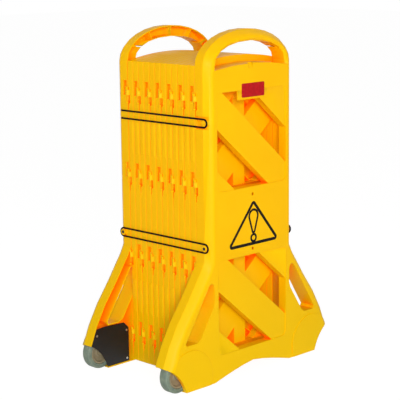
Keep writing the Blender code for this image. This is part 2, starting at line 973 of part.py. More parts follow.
def add_wheel_seat(panel, side):
    """Room for a wheel, with the boss that holds its axle, and the cover's screw holes."""
    centre = (side * wheel_centre_x, 0.0, wheel_centre_z)
    room = wheel_radius + wheel_room
    carve(panel, turned(
        ((wheel_gap - wheel_side_room, room), (end_depth - wheel_gap + wheel_side_room, room)),
        wheel_sides, "Y", centre,
    ))
    fuse(panel, turned(
        ((skin / 2, boss_radius), (wheel_gap - running_clearance, boss_radius)),
        axle_sides, "Y", centre,
    ))
    bore = axle_radius + gap
    carve(panel, turned(
        ((wheel_gap - axle_seat - gap, bore), (wheel_gap + overrun, bore)),
        axle_sides, "Y", centre,
    ))
    for x, z in screw_places():
        radius = screw_radius + gap
        carve(panel, turned(
            ((end_depth - screw_head - screw_length - gap, radius), (end_depth, radius)),
            screw_sides, "Y", (side * x, 0.0, z),
        ))


def add_cord_seats(panel):
    """The hook's pocket, the cord holes and the two bosses, each on its own side."""
    half = hook_pocket_height / 2
    carve(panel, box(
        -(half_width - hook_pocket_depth), -panel_width, -overrun, end_depth - wall,
        upper_cord_height - half, upper_cord_height + half,
    ))
    radius = upper_cord_spread - cord_radius - gap
    fuse(panel, peg_rod(
        -1, hook_back, half_width - hook_pocket_depth - hook_floor / 2,
        half_width + hook_reach, radius, upper_cord_height,
    ))
    for side, at in ((-1, boss_back), (1, peg_back)):
        fuse(panel, peg_rod(
            side, at, half_width - peg_root + gap, half_width + peg_reach, peg_radius(),
            lower_cord_height,
        ))
        bore = peg_screw_bore(side)
        carve(panel, peg_rod(
            side, at, bore, half_width + peg_reach + overrun, screw_radius + gap,
            lower_cord_height,
        ))
    for sign in (-1, 1):
        carve(panel, peg_rod(
            1, cord_hole_back, half_width - 2 * wall, half_width + overrun,
            cord_radius + cord_hole_room, upper_cord_height + sign * upper_cord_spread,
        ))


def peg_screw_bore(side):
    return half_width + peg_reach - screw_length - gap


# Wheels, each about its own centre with its axle along Y

def ring_mesh(profile, name):
    """A ring turned about Y from a closed profile of (place along Y, radius)."""
    rings = [[(r * c, y, r * s) for y, r in profile] for c, s in circle(1, wheel_sides)]
    return taken_mesh(loft(rings, name, closed=True))


def tyre_mesh():
    half, inner = tyre_width / 2, wheel_radius - tyre_band
    return ring_mesh((
        (-half, inner), (-half, wheel_radius - tyre_edge), (tyre_edge - half, wheel_radius),
        (half - tyre_edge, wheel_radius), (half, wheel_radius - tyre_edge), (half, inner),
    ), "tyre")


def hub_mesh():
    rim = wheel_radius - tyre_band - gap
    half, web, end = hub_width / 2, hub_web / 2, tyre_width / 2
    side = (
        (end, axle_radius + running_clearance), (end, hub_boss_radius),
        (web, hub_boss_radius + hub_web / 2), (web, rim - hub_rim), (half, rim),
    )
    return ring_mesh([(-y, r) for y, r in side] + [(y, r) for y, r in reversed(side)], "hub")


def axle_mesh():
    low, high = wheel_gap - axle_seat, cover_front - gap
    centre_y = end_depth / 2
    return taken_mesh(turned(
        ((low - centre_y, axle_radius), (high - centre_y, axle_radius)), axle_sides, "Y",
        (0.0, 0.0, 0.0), "axle",
    ))


# Covers and screws

def cover_mesh(side):
    inset = wall + cover_margin
    points = [(cover_inner_x, inset)]
    points += reversed(flare_points(inset, inset, cover_height))
    points += [
        (cover_peak_x, cover_height + cover_rise), (cover_inner_x + cover_corner, cover_height),
        (cover_inner_x, cover_height - cover_corner),
    ]
    cover = prism([(side * x, z) for x, z in points], cover_front, end_depth)
    carve(cover, arch_cut(side, cover_margin))
    holes = []
    for x, z in screw_places():
        hole, seat = screw_radius + gap, screw_head_radius + gap
        seat_y = end_depth - screw_head - gap
        holes.append(turned((
            (cover_front - overrun, hole), (seat_y, hole), (seat_y, seat),
            (end_depth + overrun, seat),
        ), screw_sides, "Y", (side * x, 0.0, z)))
    carve(cover, *holes)
    return taken_mesh(cover)


def screw_mesh(head_radius, head, name):
    """A screw about Y with its head's top on y = 0 and its shank at -Y."""
    return taken_mesh(turned((
        (-head - screw_length, screw_radius), (-head, screw_radius), (-head, head_radius),
        (-head / 2, head_radius), (0.0, head_radius * screw_crown_share),
    ), screw_sides, "Y", (0.0, 0.0, 0.0), name))


# Cords, as curves in the plane beside the panels' side faces

def arc(centre, radius, start, sweep, steps):
    """Points (along Y, height) round a centre."""
    points = []
    for i in range(steps + 1):
        a = start + sweep * i / steps
        points.append((centre[0] + radius * math.cos(a), centre[1] + radius * math.sin(a)))
    return points


def cord(name, points, cyclic, turn, finish):
    """A cord on the left side, or half a turn round on the right one."""
    curve = bpy.data.curves.new(name, "CURVE")
    curve.dimensions = "3D"
    curve.bevel_depth = cord_radius
    curve.bevel_resolution = cord_resolution
    curve.use_fill_caps = True
    spline = curve.splines.new("POLY")
    spline.points.add(len(points) - 1)
    for place, point in zip(points, spline.points):
        point.co = (*place, 1.0)
    spline.use_cyclic_u = cyclic
    curve.materials.append(finish)
    made = bpy.data.objects.new(name, curve)
    made.rotation_euler.z = turn
    bpy.context.scene.collection.objects.link(made)
    return made


def upper_cord_points():
    """From a hole in the rear panel, round the front panel's hook and back."""
    hook_y, hole_y = hook_back - half_depth, half_depth - cord_hole_back
    side, bend = -cord_x, cord_bend
    turn = arc((hook_y, upper_cord_height), upper_cord_spread, math.pi / 2, math.pi,
               cord_turn_steps)
    inward = []
    for i in range(cord_bend_steps + 1):
        a = math.pi / 2 * i / cord_bend_steps
        inward.append((side + bend * (1 - math.cos(a)), hole_y - bend * (1 - math.sin(a))))
    inward.append((cord_tail - half_width, hole_y))
    points = []
    for sign, ends in ((1, reversed(inward)), (-1, inward)):
        height = upper_cord_height + sign * upper_cord_spread
        if sign < 0:
            points += [(side, y, z) for y, z in turn]
        points += [(x, y, height) for x, y in ends]
    return points


def lower_cord_points():
    """A closed ring round the front boss and the rear peg."""
    quarter = math.pi / 2
    front, rear = boss_back - half_depth, half_depth - peg_back
    loop = arc((front, lower_cord_height), lower_cord_spread, quarter, math.pi, cord_turn_steps)
    loop += arc((rear, lower_cord_height), lower_cord_spread, -quarter, math.pi, cord_turn_steps)
    return [(-cord_x, y, z) for y, z in loop]


# Assembly

def taken_mesh(thing):
    """The mesh of a working object, which is dropped, with its split flat faces rejoined."""
    mesh = thing.data
    shape = bmesh.new()
    shape.from_mesh(mesh)
    bmesh.ops.dissolve_limit(
        shape, angle_limit=flat_angle, verts=shape.verts, edges=shape.edges)
    shape.to_mesh(mesh)
    shape.free()
    bpy.data.objects.remove(thing, do_unlink=True)
    return mesh


def empty(name, parent, place, turn=0.0):
    made = bpy.data.objects.new(name, None)
    bpy.context.scene.collection.objects.link(made)
    settle(made, parent, place, turn)
    return made


def settle(thing, parent, place, turn=0.0):
    """Stand a thing at a place of its parent's frame."""
    thing.parent = parent
    thing.location = place
    thing.rotation_euler.z = turn


def piece(name, mesh, finish, parent, place, turn=0.0):
    made = bpy.data.objects.new(name, mesh)
    bpy.context.scene.collection.objects.link(made)
    if not mesh.materials:
        mesh.materials.append(finish)
        mesh.shade_smooth()
        mesh.set_sharp_from_angle(angle=smooth_angle)
    settle(made, parent, place, turn)
    return made


def add_end(name, frame, hinge_side, finishes, shared):
    """An end panel with its wheel, cover, screws and pegs, in the frame of its outer face."""
    panel = taken_mesh(end_panel(name, hinge_side))
    piece(f"{name}_end_panel", panel, finishes["panel"], frame, (0.0, 0.0, 0.0))
    centre = (hinge_side * wheel_centre_x, end_depth / 2, wheel_centre_z)
    for part, finish in (("tyre", "tyre"), ("hub", "hub"), ("axle", "steel")):
        piece(f"{part}_{name}", shared[part], finishes[finish], frame, centre)
    origin = (0.0, 0.0, 0.0)
    piece(f"wheel_cover_{name}", cover_mesh(hinge_side), finishes["cover"], frame, origin)
    for number, (x, z) in enumerate(screw_places(), 1):
        place = (hinge_side * x, end_depth, z)
        piece(f"cover_screw_{name}_{number}", shared["screw"], finishes["steel"], frame, place)
    for side, back in ((-1, boss_back), (1, peg_back)):
        reach = side * (half_width + peg_reach + gap + peg_screw_head)
        where = "left" if (side < 0) == (name == "front") else "right"
        piece(
            f"cord_screw_{name}_{where}", shared["peg_screw"], finishes["dark_steel"], frame,
            (reach, back, lower_cord_height), -side * math.pi / 2,
        )


def main():
    clear_scene()
    finishes = {
        "panel": make_material("yellow_polypropylene", (0.80, 0.52, 0.02), 0.45, 0.0),
        "tyre": make_material("grey_rubber", (0.20, 0.22, 0.18), 0.75, 0.0),
        "hub": make_material("beige_nylon", (0.48, 0.38, 0.26), 0.5, 0.0),
        "cover": make_material("black_plastic", (0.02, 0.02, 0.02), 0.5, 0.0),
        "steel": make_material("zinc_plated_steel", (0.62, 0.62, 0.60), 0.3, 1.0),
        "dark_steel": make_material("blackened_steel", (0.06, 0.06, 0.06), 0.4, 1.0),
        "cord": make_material("black_elastic", (0.015, 0.015, 0.015), 0.8, 0.0),
    }
    shared = {
        "tyre": tyre_mesh(), "hub": hub_mesh(), "axle": axle_mesh(),
        "screw": screw_mesh(screw_head_radius, screw_head, "screw"),
        "peg_screw": screw_mesh(peg_screw_radius, peg_screw_head, "peg_screw"),
    }
    stand = empty("stand", None, (0.0, 0.0, 0.0))
    rear = empty("rear_end", stand, (0.0, half_depth, 0.0), math.pi)
    add_end("rear", rear, 1, finishes, shared)

    odd = inner_panel_mesh(False, "odd_panel")
    even = flipped_mesh(inner_panel_mesh(True, "even_panel"), "even_panel_flipped")
    parent, here = stand, Vector((0.0, 0.0, 0.0))
    for i in range(panel_count + 1):
        side = -1 if i % 2 == 0 else 1
        line = (panel_count / 2 - i) * panel_pitch
        axis = Vector((side * hinge_x, line, 0.0))
        hinge = empty(f"hinge_{i + 1:02d}", parent, axis - here)
        if i == panel_count:
            front = empty("front_end", hinge, Vector((0.0, -half_depth, 0.0)) - axis)
            add_end("front", front, -1, finishes, shared)
            break
        here = Vector((0.0, line - panel_pitch / 2, 0.0))
        mesh = odd if i % 2 == 0 else even
        parent = piece(f"panel_{i + 1:02d}", mesh, finishes["panel"], hinge, here - axis)

    for side, turn in (("left", 0.0), ("right", math.pi)):
        cord(f"cord_upper_{side}", upper_cord_points(), False, turn, finishes["cord"])
        cord(f"cord_lower_{side}", lower_cord_points(), True, turn, finishes["cord"])


main()
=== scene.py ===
import math

import bmesh
import bpy
import numpy as np
from mathutils import Matrix, Vector


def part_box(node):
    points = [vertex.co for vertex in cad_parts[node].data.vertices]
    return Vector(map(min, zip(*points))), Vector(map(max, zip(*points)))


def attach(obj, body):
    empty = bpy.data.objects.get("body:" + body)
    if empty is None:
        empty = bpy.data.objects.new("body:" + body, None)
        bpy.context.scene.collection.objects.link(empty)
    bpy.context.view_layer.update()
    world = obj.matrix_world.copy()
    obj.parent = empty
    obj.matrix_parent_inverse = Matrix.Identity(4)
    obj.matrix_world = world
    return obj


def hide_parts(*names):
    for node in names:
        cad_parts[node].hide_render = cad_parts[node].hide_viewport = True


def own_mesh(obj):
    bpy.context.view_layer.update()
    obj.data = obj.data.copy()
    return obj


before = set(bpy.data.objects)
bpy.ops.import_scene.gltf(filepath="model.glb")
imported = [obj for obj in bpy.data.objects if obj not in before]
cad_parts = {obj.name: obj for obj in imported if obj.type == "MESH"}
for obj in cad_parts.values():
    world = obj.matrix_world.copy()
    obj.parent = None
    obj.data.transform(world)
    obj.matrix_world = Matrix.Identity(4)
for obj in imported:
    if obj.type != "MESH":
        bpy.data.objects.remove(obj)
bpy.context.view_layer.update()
print("frame loaded with", len(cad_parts), "solids")


# Mesh helpers: every shape is a grid of points, worked out as whole arrays

def meshPiece(name, points, faces, material):
    mesh = bpy.data.meshes.new(name)
    mesh.from_pydata(points.reshape(-1, 3).tolist(), [], faces)
    mesh.update()
    mesh.materials.append(material)
    piece = bpy.data.objects.new(name, mesh)
    bpy.context.scene.collection.objects.link(piece)
    return piece


def gridFaces(rows, columns, closedRows, closedColumns, start=0):
    # quads between neighbouring points of a grid, whose columns run the fastest
    row = np.arange(rows if closedRows else rows - 1)[:, None]
    column = np.arange(columns if closedColumns else columns - 1)[None, :]
    nextRow, nextColumn = (row + 1) % rows, (column + 1) % columns
    corners = [
        row * columns + column, row * columns + nextColumn,
        nextRow * columns + nextColumn, nextRow * columns + column,
    ]
    return (np.stack([c.ravel() for c in corners], axis=1) + start).tolist()


def turnOutward(piece):
    # flips a closed mesh whose volume comes out negative
    mesh = piece.data
    mesh.calc_loop_triangles()
    points = np.empty(len(mesh.vertices) * 3)
    mesh.vertices.foreach_get("co", points)
    corners = np.empty(len(mesh.loop_triangles) * 3, np.int32)
    mesh.loop_triangles.foreach_get("vertices", corners)
    if np.linalg.det(points.reshape(-1, 3)[corners.reshape(-1, 3)]).sum() < 0:
        mesh.flip_normals()


def smooth(piece, degrees):
    piece.data.shade_smooth()
    piece.data.set_sharp_from_angle(angle=math.radians(degrees))


def unit(vectors):
    return vectors / np.linalg.norm(vectors, axis=-1, keepdims=True)


def turnedPiece(name, profile, sides, centre, material):
    # a closed profile of (along Y, radius) turned about an axis through the centre
    along, radius = np.array(profile).T
    angle = np.linspace(0, 2 * math.pi, sides, endpoint=False)[:, None]
    points = np.stack([
        radius * np.cos(angle), along + 0 * angle, radius * np.sin(angle)], axis=-1)
    piece = meshPiece(
        name, points + np.array(centre), gridFaces(sides, len(profile), True, True), material)
    turnOutward(piece)
    return piece


def cornerArc(centre, radius, start, end, steps):
    # points (along Y, radius) of a rounded shoulder in a turned profile
    angle = np.radians(np.linspace(start, end, steps))
    return np.stack([
        centre[0] + radius * np.cos(angle), centre[1] + radius * np.sin(angle)], axis=1)


# Materials

def linear(hexColour):
    # an sRGB colour written in hex, as linear light
    values = np.array([int(hexColour[i:i + 2], 16) for i in (1, 3, 5)]) / 255
    light = np.where(values <= 0.04045, values / 12.92, ((values + 0.055) / 1.055) ** 2.4)
    return (*light.tolist(), 1.0)


def addNode(tree, kind, links=None, **settings):
    # one node, its plain settings by name, and its sockets by name, each given a value or
    # another node's output
    node = tree.nodes.new(kind)
    for key, value in settings.items():
        setattr(node, key, value)
    for socket, value in (links or {}).items():
        if isinstance(value, bpy.types.NodeSocket):
            tree.links.new(value, node.inputs[socket])
        else:
            node.inputs[socket].default_value = value
    return node


def newMaterial(name, colour, roughness, metallic=0.0, ior=1.5):
    material = bpy.data.materials.new(name)
    material.use_nodes = True
    shader = material.node_tree.nodes["Principled BSDF"]
    shader.inputs["Base Color"].default_value = linear(colour)
    shader.inputs["Roughness"].default_value = roughness
    shader.inputs["Metallic"].default_value = metallic
    shader.inputs["IOR"].default_value = ior
    return material, material.node_tree, shader


def patternSize(millimetres):
    # noise scale that gives features of about this size on Object coordinates in metres
    return 1000 / millimetres


def mixColours(tree, factor, first, second):
    mix = addNode(tree, "ShaderNodeMix", {"Factor": factor}, data_type="RGBA")
    for socket, value in ((mix.inputs[6], first), (mix.inputs[7], second)):
        if isinstance(value, bpy.types.NodeSocket):
            tree.links.new(value, socket)
        else:
            socket.default_value = value
    return mix.outputs[2]


def rangeOf(tree, value, low, high, newLow, newHigh):
    made = addNode(tree, "ShaderNodeMapRange", {
        "Value": value, "From Min": low, "From Max": high, "To Min": newLow, "To Max": newHigh,
    })
    return made.outputs["Result"]


polypropylene = {
    # the third colour is painted shade, darker and greener towards the floor, over the heights on
    # the next line
    "colour": "#FFC300", "flowColour": "#FCBD00", "paintedLowShadeColour": "#EFC303",
    "paintedLowShadeHeights": (0.45, 0.02),
    # painted light: an orange tint and an emission in the hollows, and where they fade
    "paintedHollowLightColour": "#FF6A02", "paintedLightReach": 0.072, "paintedTintFrom": 0.49, "paintedTintTo": 0.1,
    "glow": 0.27, "glowFrom": 0.4, "glowTo": 0.08, "glowFoot": (0.008, 0.04),
    "glowHandle": (0.9, 0.95), "handleShare": 0.5,
    "roughness": (0.36, 0.46), "specular": 0.09, "ior": 1.49, "edgeRadius": 0.0014,
    "flowMillimetres": 180, "sinkMillimetres": 60, "grainMillimetres": 2.0,
    "sinkDepth": 0.0005, "grainDepth": 0.00005,
}


def mouldedPolypropyleneWithPaintedLight():
    # polypropylene, injection moulded in a spark-eroded tool: satin, with fine grain, slight
    # sink waves that break up its highlights, and faint flow marks in the colour. Painted light:
    # its hollows get a painted deeper orange and a painted orange emission, standing in for light
    # that has passed through and between the walls many times; this painted light fades out at
    # the floor and to half in the handles, which stand in the open. Painted shade: the colour
    # turns darker and greener towards the floor.
    look = polypropylene
    material, tree, shader = newMaterial(
        "mouldedPolypropyleneWithPaintedLight", look["colour"], look["roughness"][0], ior=look["ior"])
    place = addNode(tree, "ShaderNodeTexCoord").outputs["Object"]
    height = addNode(tree, "ShaderNodeSeparateXYZ", {"Vector": place}).outputs["Z"]
    flow = addNode(tree, "ShaderNodeTexNoise", {
        "Vector": place, "Scale": patternSize(look["flowMillimetres"]), "Detail": 4.0,
        "Distortion": 0.8,
    }).outputs["Fac"]
    body = mixColours(
        tree, rangeOf(tree, flow, 0.35, 0.7, 0.0, 1.0), linear(look["colour"]),
        linear(look["flowColour"]))
    # painted shade: the colour turns darker and greener towards the floor
    low = rangeOf(tree, height, *look["paintedLowShadeHeights"], 0.0, 1.0)
    body = mixColours(tree, low, body, linear(look["paintedLowShadeColour"]))
    # painted light: ambient occlusion finds the hollows, which get a painted orange tint and a
    # painted emission
    openness = addNode(tree, "ShaderNodeAmbientOcclusion", {
        "Distance": look["paintedLightReach"]}, samples=8).outputs["AO"]
    raised = addNode(tree, "ShaderNodeMath", {
        0: rangeOf(tree, height, *look["glowFoot"], 0.0, 1.0),
        1: rangeOf(tree, height, *look["glowHandle"], 1.0, look["handleShare"]),
    }, operation="MULTIPLY").outputs["Value"]
    paintedHollowTint = addNode(tree, "ShaderNodeMath", {
        0: rangeOf(tree, openness, look["paintedTintFrom"], look["paintedTintTo"], 0.0, 1.0), 1: raised,
    }, operation="MULTIPLY").outputs["Value"]
    glow = addNode(tree, "ShaderNodeMath", {
        0: rangeOf(tree, openness, look["glowFrom"], look["glowTo"], 0.0, look["glow"]),
        1: raised,
    }, operation="MULTIPLY").outputs["Value"]
    tree.links.new(
        mixColours(tree, paintedHollowTint, body, linear(look["paintedHollowLightColour"])),
        shader.inputs["Base Color"])
    # painted light: the hollows emit orange, though the plastic is no lamp
    tree.links.new(glow, shader.inputs["Emission Strength"])
    shader.inputs["Emission Color"].default_value = linear(look["paintedHollowLightColour"])
    shader.inputs["Specular IOR Level"].default_value = look["specular"]
    grain = addNode(tree, "ShaderNodeTexNoise", {
        "Vector": place, "Scale": patternSize(look["grainMillimetres"]), "Detail": 2.0,
    }).outputs["Fac"]
    sink = addNode(tree, "ShaderNodeTexNoise", {
        "Vector": place, "Scale": patternSize(look["sinkMillimetres"]), "Detail": 1.0,
    }).outputs["Fac"]
    tree.links.new(
        rangeOf(tree, flow, 0.3, 0.7, *look["roughness"]), shader.inputs["Roughness"])
    edges = addNode(tree, "ShaderNodeBevel", {"Radius": look["edgeRadius"]}, samples=6)
    waves = addNode(tree, "ShaderNodeBump", {
        "Height": sink, "Distance": look["sinkDepth"], "Strength": 0.6,
        "Normal": edges.outputs["Normal"],
    })
    texture = addNode(tree, "ShaderNodeBump", {
        "Height": grain, "Distance": look["grainDepth"], "Strength": 0.5,
        "Normal": waves.outputs["Normal"],
    })
    tree.links.new(texture.outputs["Normal"], shader.inputs["Normal"])
    return material


def mouldedRubber():
    # thermoplastic rubber, moulded: grey-green, matt, with a dusty bloom in soft patches
    material, tree, shader = newMaterial("mouldedRubber", "#6F7F6C", 0.62, ior=1.52)
    place = addNode(tree, "ShaderNodeTexCoord").outputs["Object"]
    bloom = addNode(tree, "ShaderNodeTexNoise", {
        "Vector": place, "Scale": patternSize(14), "Detail": 5.0}).outputs["Fac"]
    tree.links.new(mixColours(
        tree, rangeOf(tree, bloom, 0.35, 0.75, 0.0, 1.0), linear("#66766A"), linear("#83907C"),
    ), shader.inputs["Base Color"])
    grain = addNode(tree, "ShaderNodeTexNoise", {
        "Vector": place, "Scale": patternSize(1.2), "Detail": 3.0}).outputs["Fac"]
    bump = addNode(tree, "ShaderNodeBump", {"Height": grain, "Distance": 0.0001, "Strength": 0.5})
    tree.links.new(bump.outputs["Normal"], shader.inputs["Normal"])
    return material


def mouldedNylon():
    # unfilled nylon, moulded: beige, a little waxy, with cloudy colour
    material, tree, shader = newMaterial("mouldedNylon", "#94896C", 0.45, ior=1.53)
    place = addNode(tree, "ShaderNodeTexCoord").outputs["Object"]
    cloud = addNode(tree, "ShaderNodeTexNoise", {
        "Vector": place, "Scale": patternSize(22), "Detail": 3.0}).outputs["Fac"]
    tree.links.new(mixColours(
        tree, rangeOf(tree, cloud, 0.35, 0.7, 0.0, 1.0), linear("#94896C"), linear("#7E7358"),
    ), shader.inputs["Base Color"])
    bump = addNode(tree, "ShaderNodeBump", {"Height": cloud, "Distance": 0.0002, "Strength": 0.4})
    tree.links.new(bump.outputs["Normal"], shader.inputs["Normal"])
    return material


def mouldedAbs():
    # ABS, moulded in a textured tool: black, low sheen, an even pebble grain
    material, tree, shader = newMaterial("mouldedAbs", "#17181A", 0.5, ior=1.54)
    shader.inputs["Specular IOR Level"].default_value = 0.3
    place = addNode(tree, "ShaderNodeTexCoord").outputs["Object"]
    pebble = addNode(tree, "ShaderNodeTexVoronoi", {
        "Vector": place, "Scale": patternSize(1.6)}).outputs["Distance"]
    rub = addNode(tree, "ShaderNodeTexNoise", {
        "Vector": place, "Scale": patternSize(35), "Detail": 5.0}).outputs["Fac"]
    tree.links.new(rangeOf(tree, rub, 0.35, 0.7, 0.44, 0.6), shader.inputs["Roughness"])
    tree.links.new(mixColours(
        tree, rangeOf(tree, rub, 0.4, 0.8, 0.0, 1.0), linear("#0E0F10"), linear("#161718"),
    ), shader.inputs["Base Color"])
    bump = addNode(tree, "ShaderNodeBump", {
        "Height": pebble, "Distance": 0.00012, "Strength": 0.4})
    tree.links.new(bump.outputs["Normal"], shader.inputs["Normal"])
    return material


def platedSteel(name, colour, darker, roughness):
    # steel, turned and plated: metallic, with fine streaks left by the tool under the plating
    material, tree, shader = newMaterial(name, colour, roughness, metallic=1.0)
    place = addNode(tree, "ShaderNodeTexCoord").outputs["Object"]
    streak = addNode(tree, "ShaderNodeTexNoise", {
        "Vector": place, "Scale": patternSize(0.9), "Detail": 4.0}).outputs["Fac"]
    tree.links.new(mixColours(
        tree, rangeOf(tree, streak, 0.35, 0.7, 0.0, 1.0), linear(colour), linear(darker),
    ), shader.inputs["Base Color"])
    tree.links.new(
        rangeOf(tree, streak, 0.3, 0.7, roughness - 0.06, roughness + 0.12),
        shader.inputs["Roughness"])
    return material


def braidedElastic():
    # shock cord: a braided polyester sleeve over rubber strands, black, matt, its yarns
    # crossing both ways; a yarn is drawn 1.3 mm wide, about twice as coarse as the real one
    material, tree, shader = newMaterial("braidedElastic", "#0C0B0B", 0.8, ior=1.5)
    shader.inputs["Specular IOR Level"].default_value = 0.08
    along = addNode(tree, "ShaderNodeUVMap", uv_map="braid").outputs["UV"]
    parts = addNode(tree, "ShaderNodeSeparateXYZ", {"Vector": along})
    waves = []
    for operation in ("ADD", "SUBTRACT"):
        crossing = addNode(tree, "ShaderNodeMath", {
            0: parts.outputs["Y"], 1: parts.outputs["X"]}, operation=operation)
        turns = addNode(tree, "ShaderNodeMath", {
            0: crossing.outputs["Value"], 1: 2 * math.pi}, operation="MULTIPLY")
        waves.append(addNode(tree, "ShaderNodeMath", {
            0: turns.outputs["Value"]}, operation="SINE").outputs["Value"])
    braid = addNode(tree, "ShaderNodeMath", {0: waves[0], 1: waves[1]}, operation="MULTIPLY")
    tree.links.new(mixColours(
        tree, rangeOf(tree, braid.outputs["Value"], -1.0, 1.0, 0.0, 1.0), linear("#060505"),
        linear("#141213")), shader.inputs["Base Color"])
    bump = addNode(tree, "ShaderNodeBump", {
        "Height": braid.outputs["Value"], "Distance": 0.0003, "Strength": 0.7})
    tree.links.new(bump.outputs["Normal"], shader.inputs["Normal"])
    return material


def printedInk():
    # pad-printed ink: a thin black film, a little duller than the plastic it lies on
    material, tree, shader = newMaterial("printedInk", "#0D0B09", 0.5, ior=1.48)
    shader.inputs["Specular IOR Level"].default_value = 0.08
    place = addNode(tree, "ShaderNodeTexCoord").outputs["Object"]
    film = addNode(tree, "ShaderNodeTexNoise", {
        "Vector": place, "Scale": patternSize(3), "Detail": 4.0}).outputs["Fac"]
    tree.links.new(mixColours(
        tree, rangeOf(tree, film, 0.4, 0.75, 0.0, 1.0), linear("#0B0A08"), linear("#1A1510"),
    ), shader.inputs["Base Color"])
    return material


def vinylFilm():
    # printed vinyl film under a clear varnish: even dark red, low sheen, flat
    material, tree, shader = newMaterial("vinylFilm", "#B80E16", 0.34, ior=1.5)
    shader.inputs["Specular IOR Level"].default_value = 0.12
    place = addNode(tree, "ShaderNodeTexCoord").outputs["Object"]
    film = addNode(tree, "ShaderNodeTexNoise", {
        "Vector": place, "Scale": patternSize(9), "Detail": 3.0}).outputs["Fac"]
    tree.links.new(mixColours(
        tree, rangeOf(tree, film, 0.35, 0.7, 0.0, 1.0), linear("#BE0F17"), linear("#AA0B13"),
    ), shader.inputs["Base Color"])
    return material


yellow = mouldedPolypropyleneWithPaintedLight()
rubber = mouldedRubber()
nylon = mouldedNylon()
blackAbs = mouldedAbs()
zincSteel = platedSteel("zincPlatedSteel", "#C9CBC8", "#A9ACA9", 0.28)
blackSteel = platedSteel("blackenedSteel", "#3A3A3C", "#232325", 0.4)
elastic = braidedElastic()
ink = printedInk()
redFilm = vinylFilm()
print("materials made")


# Camera, lights and floor

view = {
    "place": (-2.725, -2.710, 1.2251), "yaw": 0.7839, "pitch": -0.1878, "roll": -0.0114,
    "focalPixels": 1292.0, "photoPixels": 400.0,
}


def addCamera():
    yaw, pitch, roll = view["yaw"], view["pitch"], view["roll"]
    forward = Vector((
        math.sin(yaw) * math.cos(pitch), math.cos(yaw) * math.cos(pitch), math.sin(pitch)))
    level = Vector((math.cos(yaw), -math.sin(yaw), 0.0))
    upright = level.cross(forward)
    right = level * math.cos(roll) + upright * math.sin(roll)
    up = upright * math.cos(roll) - level * math.sin(roll)
    data = bpy.data.cameras.new("photoCamera")
    data.lens = view["focalPixels"] / view["photoPixels"] * data.sensor_width
    data.clip_end = 100.0
    camera = bpy.data.objects.new("photoCamera", data)
    camera.matrix_world = Matrix.Translation(view["place"]) @ Matrix(
        (right, up, -forward)).transposed().to_4x4()
    bpy.context.scene.collection.objects.link(camera)
    bpy.context.scene.camera = camera


studio = {
    "world": 0.32, "floor": "#F4F4F2", "floorSize": 40.0, "floorLift": 0.86, "floorLight": 1.1,
    "lamps": (
        # name, place, aim, size, watts
        ("keyPanel", (-4.3, -5.1, 2.1), (0.0, 0.0, 0.5), 2.1, 345.0),
        ("topPanel", (-0.4, -0.3, 3.4), (0.0, 0.0, 0.6), 2.2, 6.0),
    ),
}


def addStudio():
    for name, place, aim, size, watts in studio["lamps"]:
        data = bpy.data.lights.new(name, "AREA")
        data.shape, data.size, data.energy = "SQUARE", size, watts
        lamp = bpy.data.objects.new(name, data)
        lamp.matrix_world = Matrix.Translation(place) @ (
            Vector(aim) - Vector(place)).to_track_quat("-Z", "Y").to_matrix().to_4x4()
        bpy.context.scene.collection.objects.link(lamp)
    world = bpy.data.worlds.new("paleStudio")
    bpy.context.scene.world = world
    world.use_nodes = True
    tree = world.node_tree
    seen = whiteRays(tree)
    strength = rangeOf(tree, seen, 0.0, 1.0, studio["world"], 1.0)
    tree.links.new(strength, tree.nodes["Background"].inputs["Strength"])
    tree.nodes["Background"].inputs["Color"].default_value = (1.0, 1.0, 1.0, 1.0)


def whiteRays(tree):
    # 1 for what the camera sees, straight or in gloss and glass
    path = addNode(tree, "ShaderNodeLightPath")
    seen = path.outputs["Is Camera Ray"]
    for kind in ("Is Glossy Ray", "Is Transmission Ray"):
        seen = addNode(tree, "ShaderNodeMath", {0: seen, 1: path.outputs[kind]},
                       operation="MAXIMUM").outputs["Value"]
    return seen


def addFloor():
    half = studio["floorSize"] / 2
    corners = np.array([(-half, -half, 0), (half, -half, 0), (half, half, 0), (-half, half, 0)])
    material, tree, shader = newMaterial("paleFloor", studio["floor"], 0.9)
    shader.inputs["Specular IOR Level"].default_value = 0.0
    light = addNode(tree, "ShaderNodeEmission", {"Strength": studio["floorLight"]})
    share = addNode(tree, "ShaderNodeMath", {
        0: whiteRays(tree), 1: studio["floorLift"]}, operation="MULTIPLY")
    mix = addNode(tree, "ShaderNodeMixShader", {
        0: share.outputs["Value"], 1: shader.outputs["BSDF"], 2: light.outputs["Emission"]})
    tree.links.new(mix.outputs["Shader"], tree.nodes["Material Output"].inputs["Surface"])
    floor = meshPiece("studioFloor", corners, [(0, 1, 2, 3)], material)


addCamera()
addStudio()
addFloor()
bpy.context.scene.view_settings.view_transform = "Standard"
print("camera, lamps and floor placed")


# Elastic cords, on the route of their solids

cords = {
    "radius": 0.0025, "sideways": 0.1831, "faceY": 0.195, "halfWidth": 0.180,
    "upperHeight": 0.7605, "upperSpread": 0.0115, "hookBack": 0.0165,
    "holeBack": 0.027, "bend": 0.0045, "tail": 0.012,
    "lowerHeight": 0.4015, "lowerSpread": 0.0125, "bossBack": 0.017, "pegBack": 0.027,
    "keep": 0.07, "sides": 14, "yarns": 5, "yarnPitch": 0.0026,
}


def arcPoints(centre, radius, start, sweep, steps):
    # points (Y, Z) of an arc about a centre
    angle = start + sweep * np.linspace(0, 1, steps)
    return np.stack([centre[0] + radius * np.cos(angle), centre[1] + radius * np.sin(angle)], 1)


def spacedLine(corners, step):
    # the same line with points at most one step apart
    pieces = [
        corners[i] + (corners[i + 1] - corners[i]) * np.linspace(
            0, 1, max(2, int(np.linalg.norm(corners[i + 1] - corners[i]) / step)))[:-1, None]
        for i in range(len(corners) - 1)
    ]
    return np.concatenate(pieces + [corners[-1:]])


